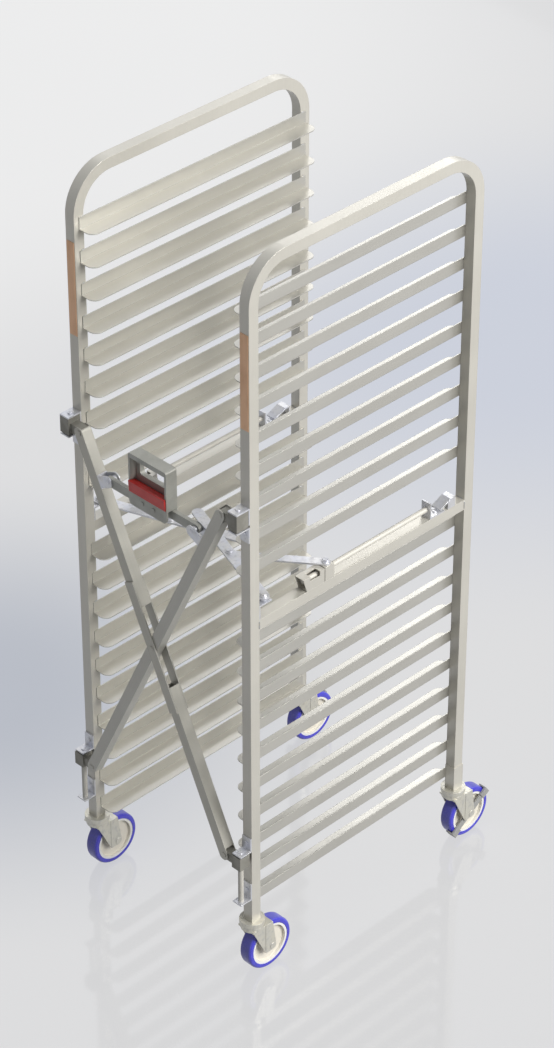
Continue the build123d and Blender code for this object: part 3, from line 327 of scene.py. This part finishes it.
# %% [markdown]
# ## Copper strips
# A thin copper strip lies on the front of each front post, brushed along its length and
# darkened by fingers. Pure copper metal would mirror the studio and lose its colour from
# some sides, so the finish is only partly metallic.

# %% Brushed copper
STRIP_BRUSH = (0.0008, 0.0008, 0.06)
STRIP_EDGE = 0.0006
BRUSH_DEPTH = 0.00005
COPPER = shade(250, 204, 165)
TARNISHED = shade(222, 176, 139)


def brushed_copper():
    """Copper brushed along the strip, with darker tarnish."""
    f = Finish("brushed_copper")
    brush = f.noise(STRIP_BRUSH, detail=3.0)
    tarnish = f.patches(size=(0.02, 0.02, 0.05), detail=4.0, low=0.4, high=0.7)
    rounded = f.soft_edge(STRIP_EDGE)
    tone = f.tint(COPPER, TARNISHED, 0.5 * brush + 0.35 * tarnish)
    return f.surface(Base_Color=tone, Roughness=0.34 + 0.16 * brush + 0.12 * tarnish, Metallic=0.3,
                     Normal=f.relief(brush, BRUSH_DEPTH, rounded))


wear(both("copper_strip"), brushed_copper())
print("copper strips are finished")

# %% [markdown]
# ## Red trigger and grey brakes
# The trigger and the brake rockers are moulded plastic, with a fine matt texture that wears
# smooth and pale along the edges. The wear could be painted on by hand, but the angle
# between the flat and the rounded normal finds the edges of any mesh.

# %% Moulded plastic
STIPPLE = 0.0009
STIPPLE_DEPTH = 0.00008
MOULDED_EDGE = 0.0012


def moulded(name, light, dark, worn, rough):
    """Stippled plastic between two tones, worn along its edges."""
    f = Finish(name)
    cloud = f.patches(size=0.03, detail=3.0, low=0.3, high=0.7)
    stipple = f.noise(STIPPLE, detail=2.0)
    rounded = f.soft_edge(MOULDED_EDGE)
    edge = f.edge_mask(rounded)
    tone = f.tint(f.tint(light, dark, 0.6 * cloud), worn, 0.4 * edge)
    return f.surface(Base_Color=tone, Roughness=rough + 0.10 * cloud - 0.08 * edge, Coat_Weight=0.1,
                     Normal=f.relief(stipple, STIPPLE_DEPTH, rounded))


red = moulded("red_trigger", light=shade(238, 62, 57), dark=shade(218, 54, 50),
              worn=shade(232, 106, 98), rough=0.36)
wear(["trigger"], red)
grey = moulded("brake_pads", light=shade(160, 160, 158), dark=shade(146, 146, 144),
               worn=shade(184, 184, 182), rough=0.5)
wear(both("back_brake"), grey)
print("trigger and brakes are finished")

# %% [markdown]
# ## Casters
# The tyres are blue polyurethane, and dust dulls their tread. The tread could be a material
# of its own, but one that follows the distance from the axle fades as dust does. Generated
# coordinates give that distance for every wheel alike, because they fill each mesh's box.

# %% Blue tyres
WHEEL_EDGE = 0.0010
WHEEL_RELIEF = 0.00006
TYRE_BLUE = shade(68, 65, 210)
DEEP_BLUE = shade(54, 49, 192)
DUSTY_BLUE = shade(128, 130, 190)
TREAD_BAND = (0.478, 0.498)


def axle_distance(f):
    """Distance from the wheel's axle, where its outside is 0.5."""
    inside = f.node("ShaderNodeTexCoord", output="Generated")
    flat = f.node("ShaderNodeMapping", {"vector_type": "POINT"},
                  {"Vector": inside, "Location": (-0.5, 0.0, -0.5), "Scale": (1.0, 0.0, 1.0)})
    return f.node("ShaderNodeVectorMath", {"operation": "LENGTH"}, {0: flat}, "Value")


def blue_tyre():
    """Glossy blue that is dusty and scuffed on the tread."""
    f = Finish("blue_tyre")
    cloud = f.patches(size=0.02, detail=3.0, low=0.3, high=0.7)
    scuff = f.patches(size=0.004, detail=4.0, low=0.5, high=0.75)
    tread = f.band(axle_distance(f), *TREAD_BAND)
    rounded = f.soft_edge(WHEEL_EDGE)
    tone = f.tint(TYRE_BLUE, DEEP_BLUE, cloud)
    tone = f.tint(tone, DUSTY_BLUE, tread * (0.25 + 0.35 * scuff))
    return f.surface(Base_Color=tone, Roughness=0.20 + 0.22 * tread + 0.10 * scuff, Coat_Weight=0.4,
                     Normal=f.relief(scuff, WHEEL_RELIEF, rounded))


wear(both("front_tyre", "back_tyre"), blue_tyre())
print("tyres are finished")

# %% [markdown]
# The hubs are cream plastic with a rim that is rubbed nearly white and some grime around
# the axle, in bands of the same distance. The forks and stems are plated steel, a little
# yellower than the brackets, so they take the zinc recipe again.

# %% Cream hubs and plated forks
CREAM = shade(231, 226, 214)
RUBBED_CREAM = shade(246, 245, 241)
GRIME = shade(170, 164, 146)
HUB_STIPPLE = 0.0010
RIM_BAND = (0.435, 0.450)
AXLE_BAND = (0.12, 0.30)


def cream_hub():
    """Cream plastic with a rubbed rim and some grime around the axle."""
    f = Finish("cream_hub")
    radius = axle_distance(f)
    rim = f.band(radius, *RIM_BAND)
    stipple = f.noise(HUB_STIPPLE, detail=2.0)
    grime = f.patches(size=0.012, detail=4.0, low=0.45, high=0.8) * (1 - f.band(radius, *AXLE_BAND))
    rounded = f.soft_edge(WHEEL_EDGE)
    tone = f.tint(CREAM, RUBBED_CREAM, rim)
    tone = f.tint(tone, GRIME, 0.5 * grime)
    return f.surface(Base_Color=tone, Roughness=0.40 - 0.10 * rim + 0.15 * grime, Coat_Weight=0.1,
                     Normal=f.relief(stipple, WHEEL_RELIEF, rounded))


wear(both("front_hub", "back_hub"), cream_hub())
steel = zinc_plate("caster_steel", cool=shade(210, 208, 198), straw=shade(216, 212, 197), rough=0.34)
wear(both("caster_tops", "front_fork", "back_fork"), steel)
print("hubs, forks and stems are finished")

# %% [markdown]
# ## Weld beads
# Each slide is tacked to both posts, and the middle rail is welded to them on its top, its
# bottom and its outer face. Bump in a material could suggest a bead, but its outline would
# stay flat. Here each bead is a short swept mesh whose rings swell and shrink, as the
# ripples of a weld do. It is partly sunk in the metal, so only its crown shows.

# %% Bead mesh
RIPPLE = 0.0016
SWELL = 0.1
END_SHARE = 0.05
RING_POINTS = 8
RINGS_PER_RIPPLE = 4


def add_bead(mesh, start, end, radius):
    """Sweep a rippled bead with round ends along a line."""
    start, end = Vector(start), Vector(end)
    length = (end - start).length
    along = (end - start) / length
    side = along.orthogonal().normalized()
    lift = along.cross(side)
    count = RINGS_PER_RIPPLE * round(length / RIPPLE)
    turns = [2 * pi * k / RING_POINTS for k in range(RING_POINTS)]
    rings = []
    for i in range(count + 1):
        reach = length * i / count
        depth = min(reach, length - reach, radius) / radius
        swell = 1 - SWELL + SWELL * sin(2 * pi * reach / RIPPLE)
        taper = END_SHARE + (1 - END_SHARE) * sqrt(1 - (1 - depth) ** 2)
        thick = radius * swell * taper
        spot = start + reach * along
        rings.append([mesh.verts.new(spot + thick * (sin(t) * side + cos(t) * lift)) for t in turns])
    for first, second in zip(rings, rings[1:]):
        for k in range(RING_POINTS):
            n = (k + 1) % RING_POINTS
            mesh.faces.new((first[k], first[n], second[n], second[k]))
    mesh.faces.new(rings[0][::-1])
    mesh.faces.new(rings[-1])


print("a bead has a ripple every", 1000 * RIPPLE, "mm")

# %% [markdown]
# The beads follow edges of the solid model. Their ends could be typed in as coordinates,
# but they are worked out from the boxes of the tubes, rails and slides, so each bead stays
# on its joint. All the beads of a frame are one mesh.

# %% Beads of one frame
SLIDE_PITCH = 0.0762
SLIDE_COUNTS = {"slides_upper": 9, "slides_lower": 10}
TACK = 0.0016
TACK_SEAT = 0.6 * TACK
FILLET = 0.0018
CORNER_CLEAR = 0.003
POST_CLEAR = 0.001


def frame_beads(side, inward):
    """All the beads of one frame; inward is the sign of Y from it to the middle of the rack."""
    mesh = bmesh.new()
    low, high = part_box(f"{side}_frame_tube")
    rail_low, rail_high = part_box(f"{side}_mid_rail")
    inner, outer = (low[1], high[1]) if side == "left" else (high[1], low[1])
    wall = inner + inward * TACK_SEAT
    for group, count in SLIDE_COUNTS.items():
        slide_low, slide_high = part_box(f"{side}_{group}")
        ends = ((slide_low[0] + CORNER_CLEAR, rail_low[0] - POST_CLEAR),
                (rail_high[0] + POST_CLEAR, slide_high[0] - CORNER_CLEAR))
        for i in range(count):
            top = slide_high[2] - i * SLIDE_PITCH
            for x0, x1 in ends:
                add_bead(mesh, (x0, wall, top), (x1, wall, top), TACK)
    for x in (rail_low[0], rail_high[0]):
        bottom, top = rail_low[2] + CORNER_CLEAR, rail_high[2] - CORNER_CLEAR
        add_bead(mesh, (x, outer, bottom), (x, outer, top), FILLET)
        for z in (rail_low[2], rail_high[2]):
            add_bead(mesh, (x, low[1] + CORNER_CLEAR, z), (x, high[1] - CORNER_CLEAR, z), FILLET)
    bmesh.ops.recalc_face_normals(mesh, faces=mesh.faces)
    data = bpy.data.meshes.new(f"{side}_weld_beads")
    mesh.to_mesh(data)
    mesh.free()
    data.polygons.foreach_set("use_smooth", [True] * len(data.polygons))
    beads = bpy.data.objects.new(f"{side}_weld_beads", data)
    bpy.context.scene.collection.objects.link(beads)
    return beads


print("tacks for", sum(SLIDE_COUNTS.values()), "slides on each frame")

# %% [markdown]
# Weld metal is rough and grey, with straw and blue heat marks and a little soot. It could
# share the satin finish, but a bead is never ground, so it has no streaks. Each mesh of
# beads rides on its own frame, so that it moves with it in the fold.

# %% Weld metal on both frames
BEAD_EDGE = 0.0004
BEAD_RELIEF = 0.00005
WELD_STRAW = shade(190, 186, 174)
WELD_BLUE = shade(178, 180, 184)
SOOT = shade(150, 146, 136)


def weld_metal():
    """Weld metal: rough grey with straw and blue heat marks."""
    f = Finish("weld_metal")
    heat = f.patches(size=0.006, detail=3.0, low=0.35, high=0.65)
    soot = f.patches(size=0.002, detail=3.0, low=0.45, high=0.75)
    tone = f.tint(WELD_STRAW, WELD_BLUE, heat)
    tone = f.tint(tone, SOOT, 0.4 * soot)
    return f.surface(Base_Color=tone, Roughness=0.38 + 0.15 * soot, Metallic=0.5,
                     Normal=f.relief(soot, BEAD_RELIEF, f.soft_edge(BEAD_EDGE)))


bead_finish = weld_metal()
for side, inward in (("left", -1), ("right", 1)):
    beads = frame_beads(side, inward)
    beads.data.materials.append(bead_finish)
    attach(beads, f"{side}_frame")
    print(beads.name, "has", len(beads.data.polygons), "faces")

# %% [markdown]
# ## Floor, light and camera
# A pale studio could be made with more light, but that would wash out the rack. Instead
# the floor and the world glow only where they are seen, by the camera or in a reflection.
# One helper tells such rays from light, and another draws soft pools of painted light and shade on the floor.

# %% What is only seen, and pools of painted light and shade
def only_seen(f):
    """1 for rays from the camera, from reflections and through glass, 0 for light."""
    kinds = ("Is Camera Ray", "Is Glossy Ray", "Is Transmission Ray")
    seen, mirrored, through = (f.node("ShaderNodeLightPath", output=kind) for kind in kinds)
    return seen + mirrored + through


def pool(f, place, middle, inner, outer):
    """1 around a point of the floor, fading to 0 between two distances."""
    away = f.node("ShaderNodeVectorMath", {"operation": "DISTANCE"}, {0: place, 1: middle}, "Value")
    return 1 - f.band(away, inner, outer)


print("glow and pools are ready")

# %% [markdown]
# The rack stands on a pale, glossy floor with a faint reflection. Its glow holds painted
# light and shade: white painted light far behind the rack, and two cooler, dimmer pools of
# painted shade on either side, the left one also standing in for the rack's shadow. Lamps
# could shade the floor so, but they would also change the light on the rack. Glow takes no
# shadow and most lamps are kept off the floor, so the rack leaves only a trace of a shadow.

# %% Floor
FLOOR_HALF = 80.0
GLOW_SHARE = 0.75
RIGHT_POOL_SHARE = 0.9
PALE_GREY = shade(237, 237, 238)
# painted shadow: the grey-blue of a pool of shade left of the rack
LEFT_SHADOW_GREY = shade(192, 197, 208)
# painted shade: the cool blue of a dim pool right of the rack
RIGHT_SHADE_BLUE = shade(212, 218, 233)
# painted light: the white far behind the rack
PAINTED_LIGHT_WHITE = shade(252, 252, 252)
FLOOR_GLOSS = {"Base Color": shade(226, 226, 228), "Roughness": 0.07, "IOR": 2.5}
bpy.ops.mesh.primitive_plane_add(size=2 * FLOOR_HALF, location=(0.0, 0.0, 0.0))
floor = bpy.context.object
floor.name = "studio_floor"
f = Finish("studio_floor")
place = f.node("ShaderNodeTexCoord", output="Object")
# painted shadow on the floor's glow, left of the rack
left_painted_shadow = pool(f, place, (-0.1, 0.9, 0.0), inner=0.1, outer=1.0)
# painted shade on the floor's glow, right of the rack
right_painted_shade = pool(f, place, (2.0, 1.1, 0.0), inner=0.2, outer=1.5)
# painted light on the floor's glow, far behind the rack
behind = pool(f, place, (1.9, 3.9, 0.0), inner=1.2, outer=2.6)
glow_tone = f.tint(PALE_GREY, LEFT_SHADOW_GREY, left_painted_shadow)
glow_tone = f.tint(glow_tone, RIGHT_SHADE_BLUE, RIGHT_POOL_SHARE * right_painted_shade)
glow_tone = f.tint(glow_tone, PAINTED_LIGHT_WHITE, behind)
lit = f.node("ShaderNodeBsdfPrincipled", None, FLOOR_GLOSS)
glow = f.node("ShaderNodeEmission", None, {"Color": glow_tone, "Strength": 1.0})
ground_light = f.node("ShaderNodeMixShader", None, {0: GLOW_SHARE * only_seen(f), 1: lit, 2: glow})
f.node("ShaderNodeOutputMaterial", None, {"Surface": ground_light})
floor.data.materials.append(f.material)
print("floor", 2 * FLOOR_HALF, "m across")

# %% [markdown]
# One lamp could light the rack, but satin metal looks alive only where it mirrors several.
# A large soft light comes from the right of the scissor and makes the faces on that side
# the brightest. A weaker one hangs above, and a very large dim one behind glances off all
# the tops. A smaller, brighter one beside it leaves white streaks on the right ends of the
# slides. All but the back light are kept off the floor, which would mirror them as discs.

# %% Lights
RACK_MIDDLE = Vector((0.0, 0.0, 0.9))
WARM = (1.0, 0.985, 0.955)
COOL = (0.97, 0.985, 1.0)
WHITE = (1.0, 1.0, 1.0)


def soft_light(name, place, size, power, colour):
    """A round lamp turned to the middle of the rack, with a size in metres and a power in watts."""
    lamp = bpy.data.lights.new(name, "AREA")
    lamp.shape = "DISK"
    lamp.size = size
    lamp.energy = power
    lamp.color = colour
    made = bpy.data.objects.new(name, lamp)
    made.location = place
    made.rotation_euler = (RACK_MIDDLE - Vector(place)).to_track_quat("-Z", "Y").to_euler()
    bpy.context.scene.collection.objects.link(made)
    return made


key = soft_light("key_light", (1.6, -6.5, 5.2), size=5.0, power=800.0, colour=WARM)
top = soft_light("top_light", (0.6, -0.4, 5.6), size=3.0, power=30.0, colour=COOL)
soft_light("back_light", (4.2, 5.0, 4.6), size=7.0, power=62.0, colour=WHITE)
streak = soft_light("streak_light", (4.1, 2.6, 4.1), size=2.0, power=26.0, colour=WHITE)
kept_off = bpy.data.collections.new("kept_off_the_floor")
kept_off.objects.link(floor)
kept_off.collection_objects[0].light_linking.link_state = "EXCLUDE"
for lamp in (key, top, streak):
    lamp.light_linking.receiver_collection = kept_off
print("four soft lights")

# %% [markdown]
# The surroundings of the studio could be walls and screens. A plain world does the same
# here: pale where the camera or the metal sees it, but dim and a little blue as a light,
# so that the faces at the scissor stay darker.

# %% World
DIM_BLUE = (0.90, 0.95, 1.0, 1.0)
DIM_STRENGTH = 0.15
world = bpy.data.worlds.new("studio")
f = Finish("studio", world)
dim = f.node("ShaderNodeBackground", None, {"Color": DIM_BLUE, "Strength": DIM_STRENGTH})
pale = f.node("ShaderNodeBackground", None, {"Color": shade(222, 223, 226), "Strength": 1.0})
sky = f.node("ShaderNodeMixShader", None, {0: only_seen(f), 1: dim, 2: pale})
f.node("ShaderNodeOutputWorld", None, {"Surface": sky})
bpy.context.scene.world = world
print("a dim world that is pale when seen")

# %% [markdown]
# The camera looks down on the scissor end. It could stand close with a wide lens, but the
# posts would then lean apart, so it stands about seven metres away with a long one.

# %% Camera
LENS = 118.14
CAMERA_PLACE = (-4.2227, -4.2372, 5.0503)
LOOKS_DOWN = 34.825
LOOKS_RIGHT = 44.752
FARTHEST_SEEN = 200.0
camera_data = bpy.data.cameras.new("photo_camera")
camera_data.lens = LENS
camera_data.clip_end = FARTHEST_SEEN
camera = bpy.data.objects.new("photo_camera", camera_data)
camera.location = CAMERA_PLACE
camera.rotation_euler = (radians(90.0 - LOOKS_DOWN), 0.0, radians(-LOOKS_RIGHT))
bpy.context.scene.collection.objects.link(camera)
bpy.context.scene.camera = camera
bpy.context.scene.view_settings.view_transform = "Standard"
print("camera at", tuple(camera.location))
